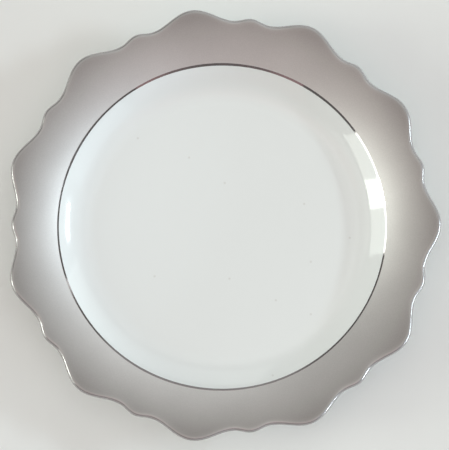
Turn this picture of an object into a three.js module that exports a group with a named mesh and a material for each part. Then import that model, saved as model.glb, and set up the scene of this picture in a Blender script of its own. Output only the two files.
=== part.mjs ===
import * as THREE from 'three';
import { toCreasedNormals } from 'three/addons/utils/BufferGeometryUtils.js';

// Bread and butter plate with a scalloped rim. Millimetres, +Z up.
// The origin is on the plate's axis, on the table that its foot ring stands on.

// Edge in plan: large lobes, with one small lobe, a bud, between each two
const LOBES = 11;
const LOBE_DEPTH = 4.6; // from a lobe's tip in to the notches beside it
const BUD_HEIGHT = 1.35; // from the notches out to a bud's tip
const BUD_WIDTH = 13.4; // from notch to notch across a bud
const LOBE_HEADING = 225; // degrees from +X to one lobe's tip, so the plate's box is square

// Section, from the well's floor out to a lobe's tip
const VERGE_RADIUS = 62; // where the well meets the rim, at the middle of the metal line
const RIM_WIDTH = 20.5; // from the verge to a lobe's tip
const SHOULDER_RADIUS = 17; // curve from the well's floor up into its wall
const SHOULDER_SLOPE = 31; // degrees, where that curve runs out into the wall
const WALL_RUN = 5.1; // in plan, from the shoulder's end to the metal line
const WALL_SLOPE = 40; // degrees, the wall where it meets the line
const RIM_INNER_SLOPE = 28; // degrees, the rim where it leaves the line
const RIM_OUTER_SLOPE = 13; // degrees, the rim at a lobe's tip
const FLOOR_THICKNESS = 3.6; // from glaze to glaze, as far out as the verge
const EDGE_THICKNESS = 2.6; // from glaze to glaze, at the rounded edge
const GLAZE = 0.3; // each coat
const LINE_WIDTH = 0.6; // metal line along the verge
const LINE_PROUD = 0.06; // above the glazes that it lies between

// Foot ring
const FOOT_HEIGHT = 2.2; // from the table up to the glazed base inside the ring
const FOOT_WIDTH = 3; // of the ring where it is ground flat, with its soft corners
const FOOT_INSET = 1.3; // from the edge of the well's floor in to the root of the ring
const FOOT_DRAFT = 20; // degrees, lean of the ring's two sides
const FOOT_CORNER = 0.4; // soft corners of the ground face
const BARE_FOOT = 0.8; // height to which the ring is left without glaze

// Facets
const STEPS_PER_LOBE = 12; // round the edge, with half as many round the well and the foot
const SHOULDER_STEPS = 3;
const RIM_STEPS = 3;
const EDGE_STEPS = 4;
const CORE_EDGE_STEPS = 3; // of the clay under the glaze

const { degToRad, lerp } = THREE.MathUtils;
const pitch = 2 * Math.PI / LOBES;
const notchRadius = VERGE_RADIUS + RIM_WIDTH - LOBE_DEPTH;
const budHalfAngle = BUD_WIDTH / 2 / notchRadius;
const lobeHalfAngle = pitch / 2 - budHalfAngle;

// A half cosine from 0 to 1 as t goes from 0 to 1
function ease(t) {
  return (1 - Math.cos(Math.PI * t)) / 2;
}

// How far the edge is drawn in from the circle of the lobes' tips, at an angle from one tip
function drawIn(angle) {
  const fromTip = Math.abs(angle - pitch * Math.round(angle / pitch));
  if (fromTip < lobeHalfAngle) {
    return LOBE_DEPTH * ease(fromTip / lobeHalfAngle);
  }
  return LOBE_DEPTH - BUD_HEIGHT * ease((fromTip - lobeHalfAngle) / budHalfAngle);
}

// A station is a place on the upper surface of the section: its radius and height, the slope
// there, and how thick the plate is below it
const shoulderSlope = degToRad(SHOULDER_SLOPE);
const wallSlope = degToRad(WALL_SLOPE);
const innerSlope = degToRad(RIM_INNER_SLOPE);
const outerSlope = degToRad(RIM_OUTER_SLOPE);
const floorTop = FOOT_HEIGHT + FLOOR_THICKNESS;
const lineInnerRadius = VERGE_RADIUS - LINE_WIDTH / 2;
const lineOuterRadius = VERGE_RADIUS + LINE_WIDTH / 2;
const wallRadius = lineInnerRadius - WALL_RUN;
const floorRadius = wallRadius - SHOULDER_RADIUS * Math.sin(shoulderSlope);

function shoulderStation(share) {
  const slope = share * shoulderSlope;
  const radius = floorRadius + SHOULDER_RADIUS * Math.sin(slope);
  const height = floorTop + SHOULDER_RADIUS * (1 - Math.cos(slope));
  return { radius, height, slope, thickness: FLOOR_THICKNESS };
}

// Wall and rim are curves whose grade changes evenly over a run, from one slope to another
function rise(run, fromSlope, toSlope) {
  return run * (Math.tan(fromSlope) + Math.tan(toSlope)) / 2;
}

// The metal line lies on the top of the wall, and the rim starts at its outer side
const wallHeight = shoulderStation(1).height;
const lineInnerHeight = wallHeight + rise(WALL_RUN, shoulderSlope, wallSlope);
const lineOuterHeight = lineInnerHeight + rise(LINE_WIDTH, wallSlope, wallSlope);
const lineInner = {
  radius: lineInnerRadius,
  height: lineInnerHeight,
  slope: wallSlope,
  thickness: FLOOR_THICKNESS,
};
const lineMiddle = {
  radius: VERGE_RADIUS,
  height: (lineInnerHeight + lineOuterHeight) / 2,
  slope: (wallSlope + innerSlope) / 2,
  thickness: FLOOR_THICKNESS,
};

// The rim's upper surface is turned about the axis, and the scalloped edge trims it
const edgeRadius = EDGE_THICKNESS / 2;
const rimEnd = VERGE_RADIUS + RIM_WIDTH - edgeRadius * (1 + Math.sin(outerSlope));
const rimRun = rimEnd - lineOuterRadius;

function rimStation(share, angle) {
  const run = share * (rimRun - drawIn(angle));
  const radius = lineOuterRadius + run;
  const slope = Math.atan(lerp(Math.tan(innerSlope), Math.tan(outerSlope), run / rimRun));
  const height = lineOuterHeight + rise(run, innerSlope, slope);
  const thickness = lerp(FLOOR_THICKNESS, EDGE_THICKNESS, share);
  return { radius, height, slope, thickness };
}

// The point at a depth below a station, square to the surface
function below(station, depth) {
  const radius = station.radius + depth * Math.sin(station.slope);
  const height = station.height - depth * Math.cos(station.slope);
  return new THREE.Vector2(radius, height);
}

// A point on the round of the edge, which turns half a circle from the upper side to the underside
function edgePoint(angle, roundRadius, turn) {
  const station = rimStation(1, angle);
  const reach = roundRadius * Math.sin(turn);
  const point = below(station, edgeRadius - roundRadius * Math.cos(turn));
  point.x += reach * Math.cos(station.slope);
  point.y += reach * Math.sin(station.slope);
  return point;
}

// A ring is a point of the section carried round the axis
const fineSteps = LOBES * STEPS_PER_LOBE;
const coarseSteps = fineSteps / 2;

function ring(steps, pointAt) {
  return Array.from({ length: steps }, (_, step) => {
    const angle = 2 * Math.PI * step / steps;
    const point = pointAt(angle);
    const heading = degToRad(LOBE_HEADING) + angle;
    const x = point.x * Math.cos(heading);
    const y = point.x * Math.sin(heading);
    return new THREE.Vector3(x, y, point.y);
  });
}

function round(radius, height) {
  const point = new THREE.Vector2(radius, height);
  return ring(coarseSteps, () => point);
}

function axisPoint(height) {
  return [new THREE.Vector3(0, 0, height)];
}

function times(count, make) {
  return Array.from({ length: count }, (_, index) => make(index));
}

// Rings of the four layered surfaces, each from the inside outwards. The depth is a function of
// the thickness, so one surface follows the plate as it thins towards its edge.
const onTop = () => 0;
const underTopGlaze = () => GLAZE;
const overBaseGlaze = (thickness) => thickness - GLAZE;
const onUnderside = (thickness) => thickness;

function stationRing(station, depth) {
  const point = below(station, depth(station.thickness));
  return round(point.x, point.y);
}

function shoulderRings(depth) {
  return times(SHOULDER_STEPS + 1, (step) => stationRing(shoulderStation(step / SHOULDER_STEPS), depth));
}

function rimRings(depth) {
  return times(RIM_STEPS, (step) => ring(fineSteps, (angle) => {
    const station = rimStation((step + 1) / RIM_STEPS, angle);
    return below(station, depth(station.thickness));
  }));
}

function edgeRings(roundRadius, steps) {
  return times(steps - 1, (step) => {
    const turn = Math.PI * (step + 1) / steps;
    return ring(fineSteps, (angle) => edgePoint(angle, roundRadius, turn));
  });
}

const wellRings = (depth) => [...shoulderRings(depth), stationRing(lineInner, depth)];
const lineOuterRing = (depth) => stationRing(rimStation(0, 0), depth);
const lowerRings = (depth) => [
  ...shoulderRings(depth),
  stationRing(lineMiddle, depth),
  ...rimRings(depth),
];

// Foot ring: its sides lean away from the ground face, and its coats of glaze end above the table
const footLean = Math.tan(degToRad(FOOT_DRAFT));
const footGlaze = GLAZE / Math.cos(degToRad(FOOT_DRAFT));
const footRoot = FOOT_HEIGHT + GLAZE;
const footOuter = floorRadius - FOOT_INSET - footGlaze - footRoot * footLean;
const footInner = footOuter - FOOT_WIDTH;
const footOuterSide = (height, coat) => round(footOuter + height * footLean + coat, height);
const footInnerSide = (height, coat) => round(footInner - height * footLean - coat, height);

// Joins neighbouring rings of a section into a closed skin. The section runs anticlockwise, from
// the axis back to the axis or round to where it began. Where two rings differ, the finer one has
// twice the points. Quads are cut along their shorter diagonal, so two pieces that share rings
// share faces too.
function skin(rings) {
  const points = rings.flat();
  const starts = rings.map((_, index) => rings.slice(0, index).flat().length);
  const faces = [];

  rings.forEach((lower, index) => {
    const next = (index + 1) % rings.length;
    const upper = rings[next];
    const lowerAt = (step) => starts[index] + step % lower.length;
    const upperAt = (step) => starts[next] + step % upper.length;

    if (lower.length === 1 && upper.length === 1) {
      return;
    }
    if (lower.length === 1) {
      upper.forEach((_, step) => faces.push(starts[index], upperAt(step + 1), upperAt(step)));
    } else if (upper.length === 1) {
      lower.forEach((_, step) => faces.push(lowerAt(step), lowerAt(step + 1), starts[next]));
    } else if (upper.length > lower.length) {
      lower.forEach((_, step) => {
        const [a, b] = [lowerAt(step), lowerAt(step + 1)];
        const [d, middle, c] = [upperAt(2 * step), upperAt(2 * step + 1), upperAt(2 * step + 2)];
        faces.push(a, middle, d, a, b, middle, b, c, middle);
      });
    } else if (upper.length < lower.length) {
      upper.forEach((_, step) => {
        const [a, middle, b] = [lowerAt(2 * step), lowerAt(2 * step + 1), lowerAt(2 * step + 2)];
        const [d, c] = [upperAt(step), upperAt(step + 1)];
        faces.push(a, middle, d, middle, b, c, middle, c, d);
      });
    } else {
      lower.forEach((_, step) => {
        const [a, b] = [lowerAt(step), lowerAt(step + 1)];
        const [d, c] = [upperAt(step), upperAt(step + 1)];
        if (points[a].distanceToSquared(points[c]) < points[b].distanceToSquared(points[d])) {
          faces.push(a, b, c, a, c, d);
        } else {
          faces.push(a, b, d, b, c, d);
        }
      });
    }
  });

  const geometry = new THREE.BufferGeometry().setFromPoints(points);
  geometry.setIndex(faces);
  return geometry;
}

const CREASE = degToRad(35);

function piece(name, rings, color, roughness, metalness) {
  const material = new THREE.MeshStandardMaterial({ color, roughness, metalness });
  const mesh = new THREE.Mesh(toCreasedNormals(skin(rings), CREASE), material);
  mesh.name = name;
  return mesh;
}

// Fired clay: floor, shoulder, rim and foot ring in one casting, bare only on the ground foot
const chinaBody = piece('china_body', [
  axisPoint(footRoot),
  footInnerSide(footRoot, 0),
  footInnerSide(BARE_FOOT, 0),
  round(footInner, FOOT_CORNER),
  round(footInner + FOOT_CORNER, 0),
  round(footOuter - FOOT_CORNER, 0),
  round(footOuter, FOOT_CORNER),
  footOuterSide(BARE_FOOT, 0),
  footOuterSide(footRoot, 0),
  ...lowerRings(overBaseGlaze),
  ...edgeRings(edgeRadius - GLAZE, CORE_EDGE_STEPS).reverse(),
  ...rimRings(underTopGlaze).reverse(),
  lineOuterRing(underTopGlaze),
  ...wellRings(underTopGlaze).reverse(),
  axisPoint(floorTop - GLAZE),
], 0xeeebe3, 0.85, 0);

// White gloss glaze over the well, as far as the metal line
const wellGlaze = piece('well_glaze', [
  axisPoint(floorTop - GLAZE),
  ...wellRings(underTopGlaze),
  ...wellRings(onTop).reverse(),
  axisPoint(floorTop),
], 0xe6e9e6, 0.12, 0);

// Metal line fired into the seam between the two upper glazes
const vergeLine = piece('verge_line', [
  stationRing(lineInner, underTopGlaze),
  lineOuterRing(underTopGlaze),
  lineOuterRing(() => -LINE_PROUD),
  stationRing(lineInner, () => -LINE_PROUD),
], 0xb4b1ad, 0.1, 1);

// Satin lustre glaze over the rim and round its edge
const rimGlaze = piece('rim_glaze', [
  lineOuterRing(underTopGlaze),
  ...rimRings(underTopGlaze),
  ...edgeRings(edgeRadius - GLAZE, CORE_EDGE_STEPS),
  rimRings(overBaseGlaze).at(-1),
  rimRings(onUnderside).at(-1),
  ...edgeRings(edgeRadius, EDGE_STEPS).reverse(),
  ...rimRings(onTop).reverse(),
  lineOuterRing(onTop),
], 0x9e9893, 0.4, 0.4);

// White glaze over the underside, from the outside of the foot ring to the edge
const undersideGlaze = piece('underside_glaze', [
  footOuterSide(BARE_FOOT, 0),
  footOuterSide(BARE_FOOT, footGlaze),
  footOuterSide(FOOT_HEIGHT, footGlaze),
  ...lowerRings(onUnderside),
  ...lowerRings(overBaseGlaze).reverse(),
  footOuterSide(footRoot, 0),
], 0xe6e9e6, 0.15, 0);

// White glaze over the base inside the foot ring
const baseGlaze = piece('base_glaze', [
  axisPoint(FOOT_HEIGHT),
  footInnerSide(FOOT_HEIGHT, footGlaze),
  footInnerSide(BARE_FOOT, footGlaze),
  footInnerSide(BARE_FOOT, 0),
  footInnerSide(footRoot, 0),
  axisPoint(footRoot),
], 0xe6e9e6, 0.15, 0);

const plate = new THREE.Group();
plate.name = 'bread_and_butter_plate';
plate.add(chinaBody, wellGlaze, vergeLine, rimGlaze, undersideGlaze, baseGlaze);

export default plate;
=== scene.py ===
"""Looks of the bread and butter plate: its finely turned surfaces, glazes, light and camera.

Sizes are millimetres and degrees, as on a drawing of the plate, and vertices are in metres.
"""

import math
from functools import cached_property

import bpy
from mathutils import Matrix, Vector, noise


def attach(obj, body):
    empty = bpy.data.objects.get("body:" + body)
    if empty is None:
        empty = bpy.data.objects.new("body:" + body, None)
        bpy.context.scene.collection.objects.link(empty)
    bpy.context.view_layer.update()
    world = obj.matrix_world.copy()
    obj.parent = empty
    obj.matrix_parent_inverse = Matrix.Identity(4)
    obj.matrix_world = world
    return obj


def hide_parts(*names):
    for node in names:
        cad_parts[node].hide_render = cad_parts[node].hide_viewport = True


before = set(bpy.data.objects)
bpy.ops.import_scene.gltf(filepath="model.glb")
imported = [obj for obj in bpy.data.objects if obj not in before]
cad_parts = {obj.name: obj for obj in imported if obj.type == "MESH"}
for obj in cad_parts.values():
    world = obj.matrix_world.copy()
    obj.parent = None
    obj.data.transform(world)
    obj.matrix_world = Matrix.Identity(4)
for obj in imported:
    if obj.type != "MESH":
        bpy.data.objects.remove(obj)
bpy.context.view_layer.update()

MM = 0.001

# Edge in plan: large lobes, with one small lobe, a bud, between each two
LOBES = 11
LOBE_DEPTH = 4.6
BUD_HEIGHT = 1.35
BUD_WIDTH = 13.4
LOBE_HEADING = 225

# Section, from the well's floor out to a lobe's tip
VERGE_RADIUS = 62
RIM_WIDTH = 20.5
SHOULDER_RADIUS = 17
SHOULDER_SLOPE = 31
WALL_RUN = 5.1
WALL_SLOPE = 40
RIM_INNER_SLOPE = 28
RIM_OUTER_SLOPE = 13
FLOOR_THICKNESS = 3.6
EDGE_THICKNESS = 2.6
GLAZE = 0.3
LINE_WIDTH = 0.6
LINE_PROUD = 0.06

# Foot ring
FOOT_HEIGHT = 2.2
FOOT_WIDTH = 3
FOOT_INSET = 1.3
FOOT_DRAFT = 20
FOOT_CORNER = 0.4
CORNER_MIDDLE = 0.12  # the middle of the corner's round lies this far in from both faces
BARE_FOOT = 0.8
OUTSIDE = 1
INSIDE = -1

# Hand work that a drawing leaves out
LINE_SPREAD = 0.1  # of each side of the metal line where it is broadest
LINE_BROAD_ANGLE = 31  # from a lobe's tip to where the line is broadest, as it is again opposite
LINE_WANDER = 0.09  # of each side of the metal line, either way
LINE_WANDER_TURNS = 2.2  # how quickly it wanders round the plate
LINE_BEVEL = 0.03  # share of the line's width over which its film rises to its full height
GLAZE_FILLET = 0.9  # pool of glaze in the corners beside the foot ring
THIN_GLAZE_WIDTH = 1.45  # strip along the edge where the lustre is drawn thin

# Facets
STEPS_PER_LOBE = 36
STEPS = LOBES * STEPS_PER_LOBE
SHOULDER_STEPS = 18
WALL_STEPS = 10
RIM_STEPS = 14
EDGE_STEPS = 12
HIDDEN_STEPS = 6  # where a coat covers the clay
FILLET_STEPS = 5
CREASE = 40  # faces that meet at more than this keep a sharp edge between them

# The photograph, in pixels
PHOTO_WIDTH = 449
PHOTO_TIP_RADIUS = 219.4  # from the plate's centre to the lobes' tips

# Azimuths are counted anticlockwise from the photograph's right, where one lobe points
LOBES_TO_RIGHT = 7  # clockwise from the heading to that lobe
PHOTO_RIGHT = 0
PHOTO_TOP = 90
PHOTO_BOTTOM = -90

# Camera, which looks at a point this far right of the plate's centre and this far up the photograph
AIM_RIGHT = 0.92
AIM_UP = -0.52
CAMERA_ELEVATION = 82.4
CAMERA_DISTANCE = 1600
SENSOR_WIDTH = 36

pitch = 2 * math.pi / LOBES
heading = math.radians(LOBE_HEADING)
photo_right = heading - LOBES_TO_RIGHT * pitch
tip_radius = VERGE_RADIUS + RIM_WIDTH
notch_radius = tip_radius - LOBE_DEPTH
bud_half_angle = BUD_WIDTH / 2 / notch_radius
lobe_half_angle = pitch / 2 - bud_half_angle

shoulder_slope = math.radians(SHOULDER_SLOPE)
wall_slope = math.radians(WALL_SLOPE)
inner_slope = math.radians(RIM_INNER_SLOPE)
outer_slope = math.radians(RIM_OUTER_SLOPE)


def blend(first, second, share):
    return first + share * (second - first)


# Wall and rim are curves whose grade changes evenly over a run, from one slope to another
def rise(run, from_slope, to_slope):
    return run * (math.tan(from_slope) + math.tan(to_slope)) / 2


def slope_at(from_slope, to_slope, share):
    return math.atan(blend(math.tan(from_slope), math.tan(to_slope), share))


floor_top = FOOT_HEIGHT + FLOOR_THICKNESS
line_inner_radius = VERGE_RADIUS - LINE_WIDTH / 2
line_outer_radius = VERGE_RADIUS + LINE_WIDTH / 2
wall_radius = line_inner_radius - WALL_RUN
floor_radius = wall_radius - SHOULDER_RADIUS * math.sin(shoulder_slope)
wall_height = floor_top + SHOULDER_RADIUS * (1 - math.cos(shoulder_slope))
line_inner_height = wall_height + rise(WALL_RUN, shoulder_slope, wall_slope)
line_outer_height = line_inner_height + rise(LINE_WIDTH, wall_slope, wall_slope)

edge_radius = EDGE_THICKNESS / 2
rim_end = tip_radius - edge_radius * (1 + math.sin(outer_slope))
rim_run = rim_end - line_outer_radius
rim_height = line_outer_height + rise(rim_run, inner_slope, outer_slope)
rim_centre = Vector((0, 0, rim_height * MM))

foot_lean = math.tan(math.radians(FOOT_DRAFT))
foot_glaze = GLAZE / math.cos(math.radians(FOOT_DRAFT))
foot_root = FOOT_HEIGHT + GLAZE
foot_outer = floor_radius - FOOT_INSET - foot_glaze - foot_root * foot_lean
foot_inner = foot_outer - FOOT_WIDTH


def ease(t):
    """Half a cosine, from 0 to 1 as t goes from 0 to 1."""
    return (1 - math.cos(math.pi * t)) / 2


def draw_in(angle):
    """How far the edge is drawn in from the circle of the lobes' tips, at an angle from a tip."""
    from_tip = abs(angle - pitch * round(angle / pitch))
    if from_tip < lobe_half_angle:
        return LOBE_DEPTH * ease(from_tip / lobe_half_angle)
    return LOBE_DEPTH - BUD_HEIGHT * ease((from_tip - lobe_half_angle) / bud_half_angle)


# A station is a place on the section's upper side: radius, height, slope and thickness below it
def shoulder_station(share):
    slope = shoulder_slope * share
    radius = floor_radius + SHOULDER_RADIUS * math.sin(slope)
    height = floor_top + SHOULDER_RADIUS * (1 - math.cos(slope))
    return radius, height, slope, FLOOR_THICKNESS


def wall_station(share):
    run = share * WALL_RUN
    slope = slope_at(shoulder_slope, wall_slope, share)
    height = wall_height + rise(run, shoulder_slope, slope)
    return wall_radius + run, height, slope, FLOOR_THICKNESS


def line_station(share):
    radius = blend(line_inner_radius, line_outer_radius, share)
    height = blend(line_inner_height, line_outer_height, share)
    slope = blend(wall_slope, inner_slope, share)
    return radius, height, slope, FLOOR_THICKNESS


def rim_station(share, angle):
    run = share * (rim_run - draw_in(angle))
    slope = slope_at(inner_slope, outer_slope, run / rim_run)
    height = line_outer_height + rise(run, inner_slope, slope)
    thickness = blend(FLOOR_THICKNESS, EDGE_THICKNESS, share)
    return line_outer_radius + run, height, slope, thickness


def below(station, depth):
    """The point at a depth under a station, where the depth is a function of the thickness."""
    radius, height, slope, thickness = station
    sunk = depth(thickness)
    return radius + sunk * math.sin(slope), height - sunk * math.cos(slope)


def on_top(thickness):
    return 0


def under_top_glaze(thickness):
    return GLAZE


def over_base_glaze(thickness):
    return thickness - GLAZE


def on_underside(thickness):
    return thickness


def edge_point(angle, round_radius, turn):
    """A point on the round of the edge, which turns half a circle from top to underside."""
    station = rim_station(1, angle)
    slope = station[2]
    radius, height = below(station, lambda thickness: edge_radius - round_radius * math.cos(turn))
    reach = round_radius * math.sin(turn)
    return radius + reach * math.cos(slope), height + reach * math.sin(slope)


# A ring is a point of the section carried round the axis, and a point on the axis is a ring of one
def ring(point_at):
    points = []
    for step in range(STEPS):
        angle = 2 * math.pi * step / STEPS
        radius, height = point_at(angle)
        turned = heading + angle
        points.append((radius * math.cos(turned) * MM, radius * math.sin(turned) * MM, height * MM))
    return points


def circle(radius, height):
    return ring(lambda angle: (radius, height))


def axis_point(height):
    return [(0, 0, height * MM)]


def shares(steps):
    return [step / steps for step in range(steps + 1)]


def well_rings(depth, shoulder_steps, wall_steps):
    stations = [shoulder_station(share) for share in shares(shoulder_steps)]
    stations += [wall_station(share) for share in shares(wall_steps)[1:]]
    return [circle(*below(station, depth)) for station in stations]


def rim_rings(depth, steps):
    """The rim's rings, without the one at the line."""
    return [
        ring(lambda angle, share=share: below(rim_station(share, angle), depth))
        for share in shares(steps)[1:]
    ]


def edge_rings(round_radius, steps):
    """The rings round the edge, without the first and last, which belong to the rim."""
    return [
        ring(lambda angle, turn=math.pi * share: edge_point(angle, round_radius, turn))
        for share in shares(steps)[1:-1]
    ]


def line_ring(share, depth):
    return circle(*below(line_station(share), depth))


def lower_rings(depth, steps):
    """The rings under well and rim, with a single one under the line."""
    well = well_rings(depth, steps, steps)
    return [*well[:-1], line_ring(0.5, depth), *rim_rings(depth, steps)]


def foot_radius(side):
    return foot_outer if side == OUTSIDE else foot_inner


def foot_side(side, height, coat=0):
    """A ring on one side of the foot ring, or on a coat over it."""
    return circle(foot_radius(side) + side * (height * foot_lean + coat), height)


def foot_corner(side):
    """Rings round the corner from one side of the foot ring to its ground face."""
    insets = ((0, FOOT_CORNER), (CORNER_MIDDLE, CORNER_MIDDLE), (FOOT_CORNER, 0))
    return [circle(foot_radius(side) - side * inset, height) for inset, height in insets]


def fillet(side):
    """Rings of the pool of glaze in the corner between a side of the foot ring and the base."""
    corner = foot_radius(side) + side * (FOOT_HEIGHT * foot_lean + foot_glaze)
    rings = []
    for share in shares(FILLET_STEPS):
        turn = math.pi / 2 * share
        along = GLAZE_FILLET * (1 - math.cos(turn))
        down = GLAZE_FILLET * (1 - math.sin(turn))
        radius = corner + side * (along - down * foot_lean)
        rings.append(circle(radius, FOOT_HEIGHT - down))
    return rings


def line_edge(side):
    """A function of the angle: how far out from its seat the line's inner (0) or outer (1) side lies."""
    def wander(angle):
        place = Vector((math.cos(angle), math.sin(angle), side)) * LINE_WANDER_TURNS
        spread = LINE_SPREAD * math.cos(angle - math.radians(LINE_BROAD_ANGLE)) ** 2
        return LINE_WANDER * noise.noise(place) + blend(-spread, spread, side)
    return wander


def line_film(share, proud):
    """A ring at a share of the metal line's width, so far proud of its seat. The line's sides wander."""
    inner = line_edge(0)
    outer = line_edge(1)

    def point(angle):
        across = share * LINE_WIDTH + blend(inner(angle), outer(angle), share)
        radius = line_inner_radius + across - proud * math.sin(wall_slope)
        height = line_inner_height + rise(across, wall_slope, wall_slope) + proud * math.cos(wall_slope)
        return radius, height

    return ring(point)


def skin(name, rings):
    """A closed smooth mesh object through the rings, whose section runs anticlockwise."""
    vertices = []
    starts = []
    for points in rings:
        starts.append(len(vertices))
        vertices.extend(points)

    faces = []
    for index, lower in enumerate(rings):
        following = (index + 1) % len(rings)
        upper = rings[following]
        low, high = starts[index], starts[following]
        if len(lower) == 1 and len(upper) == 1:
            continue
        for step in range(STEPS):
            after = (step + 1) % STEPS
            if len(lower) == 1:
                faces.append((low, high + after, high + step))
            elif len(upper) == 1:
                faces.append((low + step, low + after, high))
            else:
                faces.append((low + step, low + after, high + after, high + step))

    mesh = bpy.data.meshes.new(name)
    mesh.from_pydata(vertices, [], faces)
    mesh.shade_smooth()
    mesh.set_sharp_from_angle(angle=math.radians(CREASE))
    mesh.validate()
    piece = bpy.data.objects.new(name, mesh)
    bpy.context.scene.collection.objects.link(piece)
    return piece


def within(value):
    return min(1, max(0, value))


def mark_rim(piece):
    """Stores two values from 0 to 1 on each vertex: how far out on the rim it is, for the depth of
    the lustre, and how near the edge, where the glaze is drawn thin."""
    depths = []
    thins = []
    for vertex in piece.data.vertices:
        x, y, _ = vertex.co / MM
        radius = math.hypot(x, y)
        end = rim_end - draw_in(math.atan2(y, x) - heading) + edge_radius
        depths.append(within((radius - line_outer_radius) / rim_run))
        thins.append(within(1 - (end - radius) / THIN_GLAZE_WIDTH))
    for name, values in (("lustre_depth", depths), ("thin_glaze", thins)):
        mask = piece.data.attributes.new(name, "FLOAT", "POINT")
        mask.data.foreach_set("value", values)


# Pieces, each with the rings of its section in order
china_body = skin("fine_china_body", [
    axis_point(foot_root),
    foot_side(INSIDE, foot_root),
    foot_side(INSIDE, BARE_FOOT),
    *foot_corner(INSIDE),
    *foot_corner(OUTSIDE)[::-1],
    foot_side(OUTSIDE, BARE_FOOT),
    foot_side(OUTSIDE, foot_root),
    *lower_rings(over_base_glaze, HIDDEN_STEPS),
    *edge_rings(edge_radius - GLAZE, HIDDEN_STEPS)[::-1],
    *rim_rings(under_top_glaze, HIDDEN_STEPS)[::-1],
    line_ring(1, under_top_glaze),
    *well_rings(under_top_glaze, HIDDEN_STEPS, HIDDEN_STEPS)[::-1],
    axis_point(floor_top - GLAZE),
])

well_glaze = skin("fine_well_glaze", [
    axis_point(floor_top - GLAZE),
    *well_rings(under_top_glaze, HIDDEN_STEPS, HIDDEN_STEPS),
    *well_rings(on_top, SHOULDER_STEPS, WALL_STEPS)[::-1],
    axis_point(floor_top),
])

# The line's outer side is tucked under the rim's surface, also where the line spreads on to the rim
verge_line = skin("fine_verge_line", [
    line_ring(0, under_top_glaze),
    line_ring(1, under_top_glaze),
    line_film(1, -LINE_PROUD),
    line_film(1 - LINE_BEVEL, LINE_PROUD),
    line_film(LINE_BEVEL, LINE_PROUD),
    line_film(0, 0),
])

rim_glaze = skin("fine_rim_glaze", [
    line_ring(1, under_top_glaze),
    *rim_rings(under_top_glaze, HIDDEN_STEPS),
    *edge_rings(edge_radius - GLAZE, HIDDEN_STEPS),
    rim_rings(over_base_glaze, 1)[-1],
    rim_rings(on_underside, 1)[-1],
    *edge_rings(edge_radius, EDGE_STEPS)[::-1],
    *rim_rings(on_top, RIM_STEPS)[::-1],
    line_ring(1, on_top),
])
mark_rim(rim_glaze)

underside_glaze = skin("fine_underside_glaze", [
    foot_side(OUTSIDE, BARE_FOOT),
    foot_side(OUTSIDE, BARE_FOOT, foot_glaze),
    *fillet(OUTSIDE),
    *lower_rings(on_underside, SHOULDER_STEPS),
    *lower_rings(over_base_glaze, HIDDEN_STEPS)[::-1],
    foot_side(OUTSIDE, foot_root),
])

base_glaze = skin("fine_base_glaze", [
    axis_point(FOOT_HEIGHT),
    *fillet(INSIDE)[::-1],
    foot_side(INSIDE, BARE_FOOT, foot_glaze),
    foot_side(INSIDE, BARE_FOOT),
    foot_side(INSIDE, foot_root),
    axis_point(foot_root),
])


# Noise stays nearly always between these two values
NOISE_LOW = 0.3
NOISE_HIGH = 0.7


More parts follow.
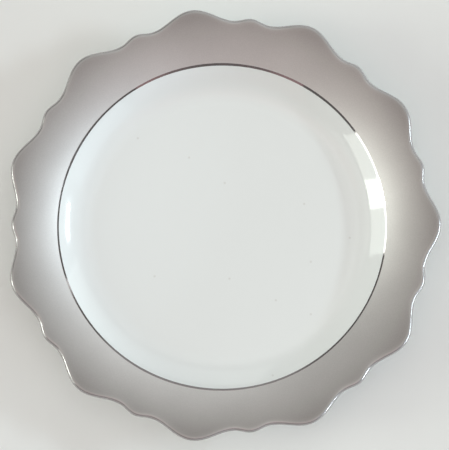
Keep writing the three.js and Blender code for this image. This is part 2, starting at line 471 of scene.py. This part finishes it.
class Shader:
    """The nodes of a material or a world, and short ways to add what feeds its shader."""

    def __init__(self, owner, surface="Principled BSDF", coordinates="Object"):
        owner.use_nodes = True
        self.owner = owner
        self.tree = owner.node_tree
        self.surface = self.tree.nodes[surface]
        self.coordinates = coordinates

    @cached_property
    def place(self):
        return self.node("ShaderNodeTexCoord").outputs[self.coordinates]

    def node(self, kind, **settings):
        made = self.tree.nodes.new(kind)
        for key, value in settings.items():
            setattr(made, key, value)
        return made

    def feed(self, socket, value):
        if isinstance(value, bpy.types.NodeSocket):
            self.tree.links.new(value, socket)
        else:
            socket.default_value = value

    def set(self, **inputs):
        """Feeds the shader: base_color=... goes to its Base Color, and so on."""
        for key, value in inputs.items():
            socket = self.surface.inputs[key.replace("_", " ").title().replace("Ior", "IOR")]
            self.feed(socket, value)

    def noise(self, size, detail=2.0):
        """Noise whose features are about so many millimetres across."""
        made = self.node("ShaderNodeTexNoise")
        self.feed(made.inputs["Vector"], self.place)
        self.feed(made.inputs["Scale"], 1 / (size * MM))
        self.feed(made.inputs["Detail"], detail)
        return made.outputs["Fac"]

    def span(self, value, first, last, start=NOISE_LOW, end=NOISE_HIGH, interpolation="LINEAR"):
        """Goes from first to last as a value goes from start to end."""
        made = self.node("ShaderNodeMapRange", interpolation_type=interpolation)
        for socket, given in zip(made.inputs, (value, start, end, first, last)):
            self.feed(socket, given)
        return made.outputs["Result"]

    def mix(self, share, first, second):
        made = self.node("ShaderNodeMix", data_type="RGBA")
        self.feed(made.inputs["Factor"], share)
        for name, colour in (("A", first), ("B", second)):
            self.feed(made.inputs[name], (*colour, 1) if isinstance(colour, tuple) else colour)
        return made.outputs["Result"]

    def varied(self, colour, clouds, amount):
        """A colour made darker and paler by a share of it, as noise goes."""
        made = self.node("ShaderNodeVectorMath", operation="SCALE")
        self.feed(made.inputs["Vector"], colour)
        self.feed(made.inputs["Scale"], self.span(clouds, 1 - amount, 1 + amount))
        return made.outputs["Vector"]

    def math(self, operation, first, second):
        made = self.node("ShaderNodeMath", operation=operation)
        self.feed(made.inputs[0], first)
        self.feed(made.inputs[1], second)
        return made.outputs["Value"]

    def attribute(self, name):
        return self.node("ShaderNodeAttribute", attribute_name=name).outputs["Fac"]

    def bump(self, height, depth, under=None):
        """A bump so many millimetres deep, over another bump or the bare normal."""
        made = self.node("ShaderNodeBump")
        self.feed(made.inputs["Distance"], depth * MM)
        self.feed(made.inputs["Height"], height)
        if under is not None:
            self.feed(made.inputs["Normal"], under)
        return made.outputs["Normal"]

    def specks(self, spacing, radius, core, share):
        """1 in the core of small round specks, fading to 0 at their radius, in a share of cells so
        many millimetres apart in plan."""
        cells = self.node("ShaderNodeTexVoronoi", voronoi_dimensions="2D")
        self.feed(cells.inputs["Vector"], self.place)
        self.feed(cells.inputs["Scale"], 1 / (spacing * MM))
        near = self.span(cells.outputs["Distance"], 1, 0, core / spacing, radius / spacing)
        tint = self.node("ShaderNodeSeparateColor")
        self.feed(tint.inputs["Color"], cells.outputs["Color"])
        chosen = self.math("LESS_THAN", tint.outputs["Red"], share)
        return self.math("MULTIPLY", near, chosen)


# White glaze
GLAZE_WHITE = (0.777, 0.799, 0.798)
GLAZE_CLOUDS = (0.787, 0.809, 0.808)
SPECK_BROWN = (0.42, 0.38, 0.34)
SPECK_STRENGTH = 0.25


def white_glaze():
    """Clear gloss over white: faintly clouded, a little uneven, with a few kiln specks."""
    shader = Shader(bpy.data.materials.new("white_glaze"))
    clouded = shader.mix(shader.noise(size=30), GLAZE_WHITE, GLAZE_CLOUDS)
    specks = shader.specks(spacing=15, radius=0.6, core=0.2, share=0.3)
    specked = shader.math("MULTIPLY", specks, SPECK_STRENGTH)
    ripple = shader.bump(shader.noise(size=7), depth=0.004)
    peel = shader.bump(shader.noise(size=1.6), depth=0.0006, under=ripple)
    shader.set(
        base_color=shader.mix(specked, clouded, SPECK_BROWN),
        roughness=shader.span(shader.noise(size=11), first=0.05, last=0.09),
        normal=peel,
        ior=1.6,
    )
    return shader.owner


# Lustre of the rim
LUSTRE_AT_LINE = (0.638, 0.614, 0.606)
LUSTRE_AT_EDGE = (0.286, 0.266, 0.257)
LUSTRE_DRAWN_THIN = (0.43, 0.414, 0.416)
LUSTRE_VARIES = 0.04  # share by which clouds and grain darken or lighten it


def lustre_glaze():
    """Satin pewter lustre: cloudy, finely grained and darker outward, but paler and glossier where
    it is drawn thin at the edge."""
    shader = Shader(bpy.data.materials.new("lustre_glaze"))
    graded = shader.mix(shader.attribute("lustre_depth"), LUSTRE_AT_LINE, LUSTRE_AT_EDGE)
    clouded = shader.varied(graded, shader.noise(size=26, detail=3), LUSTRE_VARIES)
    grain = shader.noise(size=0.35, detail=1)
    grained = shader.varied(clouded, grain, LUSTRE_VARIES)
    thin = shader.attribute("thin_glaze")
    shader.set(
        base_color=shader.mix(thin, grained, LUSTRE_DRAWN_THIN),
        metallic=shader.span(thin, first=0.84, last=0.5, start=0, end=1),
        roughness=shader.span(thin, first=0.5, last=0.16, start=0, end=1),
        normal=shader.bump(grain, depth=0.001),
        ior=1.5,
    )
    return shader.owner


# Metal of the line
PLATINUM = (0.66, 0.62, 0.63)
PLATINUM_THIN = (0.56, 0.515, 0.53)


def platinum():
    """Bright metal brushed on by hand, a little thinner and darker in places."""
    shader = Shader(bpy.data.materials.new("platinum"))
    shader.set(
        base_color=shader.mix(shader.noise(size=9), PLATINUM, PLATINUM_THIN),
        metallic=1.0,
        roughness=shader.span(shader.noise(size=1.2), first=0.05, last=0.1),
        normal=shader.bump(shader.noise(size=0.5), depth=0.0005),
    )
    return shader.owner


# Clay
CLAY = (0.80, 0.77, 0.70)
CLAY_RUBBED = (0.62, 0.59, 0.54)
CLAY_GRAINS = (0.86, 0.84, 0.78)


def bare_clay():
    """Unglazed fired clay with a fine grain, rubbed greyer in patches."""
    shader = Shader(bpy.data.materials.new("bare_clay"))
    patches = shader.span(shader.noise(size=2.5), first=0, last=0.5)
    rubbed = shader.mix(patches, CLAY, CLAY_RUBBED)
    grain = shader.noise(size=0.25, detail=4)
    shader.set(
        base_color=shader.mix(shader.span(grain, first=0, last=0.3), rubbed, CLAY_GRAINS),
        roughness=shader.span(grain, first=0.8, last=0.95),
        normal=shader.bump(grain, depth=0.03),
    )
    return shader.owner


# Each piece gets its material and stands for its CAD node
white = white_glaze()
for piece, node, slot, material in (
    (china_body, "china_body", "clay", bare_clay()),
    (well_glaze, "well_glaze", "white_glaze", white),
    (verge_line, "verge_line", "platinum", platinum()),
    (rim_glaze, "rim_glaze", "lustre_glaze", lustre_glaze()),
    (underside_glaze, "underside_glaze", "white_glaze", white),
    (base_glaze, "base_glaze", "white_glaze", white),
):
    piece.data.materials.append(material)
    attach(piece, "root")
    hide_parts(node)


def toward(azimuth, elevation=0):
    """The direction from the plate to an azimuth and an elevation."""
    turned = photo_right + math.radians(azimuth)
    raised = math.radians(elevation)
    level = math.cos(raised)
    return Vector((level * math.cos(turned), level * math.sin(turned), math.sin(raised)))


def aimed(thing, place, target):
    """An object for a camera or a lamp, which stands at a place and looks at a target."""
    made = bpy.data.objects.new(thing.name, thing)
    made.location = place
    made.rotation_euler = (target - place).to_track_quat("-Z", "Y").to_euler()
    bpy.context.scene.collection.objects.link(made)
    return made


def photo_camera():
    """A camera that frames the plate as the photograph does."""
    aim = rim_centre + (toward(PHOTO_RIGHT) * AIM_RIGHT + toward(PHOTO_TOP) * AIM_UP) * MM
    camera = bpy.data.cameras.new("camera")
    camera.sensor_fit = "HORIZONTAL"
    camera.sensor_width = SENSOR_WIDTH
    camera.lens = SENSOR_WIDTH * CAMERA_DISTANCE * PHOTO_TIP_RADIUS / (PHOTO_WIDTH * tip_radius)
    place = aim + toward(PHOTO_BOTTOM, CAMERA_ELEVATION) * CAMERA_DISTANCE * MM
    return aimed(camera, place, aim)


bpy.context.scene.camera = photo_camera()

# Colours of the light
GREENISH = (0.93, 1.0, 0.91)
BLUISH = (0.80, 0.94, 1.0)
ROSY = (1.0, 0.53, 0.54)
PALE = (0.95, 1.0, 0.975)

# One lamp that stands before another is nearer, and one that stands behind is farther off
NEAR = 11700
MIDDLE = 12000
FAR = 12300

# Each lamp's name, azimuth, elevation, width and height in degrees, radiance, colour and distance
SOFTBOXES = (
    ("left_panel", 185.4, 19.8, 44.6, 24.1, 2.65, GREENISH, MIDDLE),
    ("left_core", 184.4, 19.8, 10.4, 24.1, 7.2, GREENISH, NEAR),
    ("left_upper", 187, 41, 42, 12, 0.42, GREENISH, MIDDLE),
    ("right_core", 5.8, 23.0, 12.0, 2.8, 81, BLUISH, MIDDLE),
    ("right_border", 5.8, 23.0, 16.5, 7.6, 1.2, BLUISH, FAR),
    ("right_low", -17, 7.2, 29, 5.8, 30, BLUISH, MIDDLE),
    ("right_side", -28, 32, 34, 22, 0.58, BLUISH, MIDDLE),
    ("back_panel", 64, 26, 76, 30, 0.87, PALE, MIDDLE),
    ("back_low", 72, 4, 100, 7, 0.2, PALE, MIDDLE),
    ("front_panel", 255, 70, 70, 24, 0.36, ROSY, MIDDLE),
    ("front_low", 271, 31.7, 66, 21.8, 0.25, ROSY, MIDDLE),
    ("overhead", 90, 80, 50, 50, 0.58, PALE, MIDDLE),
)


def softbox(name, azimuth, elevation, wide, high, radiance, colour, distance):
    """A flat lamp that looks so many degrees wide and high, and so bright, from the plate."""
    lamp = bpy.data.lights.new(name, "AREA")
    lamp.shape = "RECTANGLE"
    lamp.size = 2 * distance * MM * math.tan(math.radians(wide / 2))
    lamp.size_y = 2 * distance * MM * math.tan(math.radians(high / 2))
    lamp.energy = math.pi * lamp.size * lamp.size_y * radiance
    lamp.color = colour
    place = rim_centre + toward(azimuth, elevation) * distance * MM
    aimed(lamp, place, rim_centre)


for row in SOFTBOXES:
    softbox(*row)

# Room, whose walls pass into the ceiling between two heights, each the sine of an elevation
WALLS = (0.158, 0.156, 0.150)
CEILING = (0.555, 0.545, 0.525)
WALLS_END = 0.5
CEILING_STARTS = 0.77


def dim_room():
    """A world with dim walls and a paler ceiling."""
    shader = Shader(bpy.data.worlds.new("dim_room"), "Background", "Generated")
    direction = shader.node("ShaderNodeSeparateXYZ")
    shader.feed(direction.inputs["Vector"], shader.place)
    height = direction.outputs["Z"]
    raised = shader.span(height, 0, 1, WALLS_END, CEILING_STARTS, interpolation="SMOOTHSTEP")
    shader.set(color=shader.mix(raised, WALLS, CEILING))
    return shader.owner


bpy.context.scene.world = dim_room()

# Floor
FLOOR_REACH = 6000
FLOOR_COLOUR = (0.78, 0.78, 0.77, 1)
FLOOR_ROUGHNESS = 0.9


def pale_floor():
    """A plain square floor under the plate."""
    reach = FLOOR_REACH * MM
    corners = [(-reach, -reach, 0), (reach, -reach, 0), (reach, reach, 0), (-reach, reach, 0)]
    mesh = bpy.data.meshes.new("floor")
    mesh.from_pydata(corners, [], [(0, 1, 2, 3)])
    shader = Shader(bpy.data.materials.new("pale_floor"))
    shader.set(base_color=FLOOR_COLOUR, roughness=FLOOR_ROUGHNESS)
    mesh.materials.append(shader.owner)
    made = bpy.data.objects.new("floor", mesh)
    bpy.context.scene.collection.objects.link(made)
    return made


floor = pale_floor()

bpy.context.scene.view_settings.view_transform = "Standard"
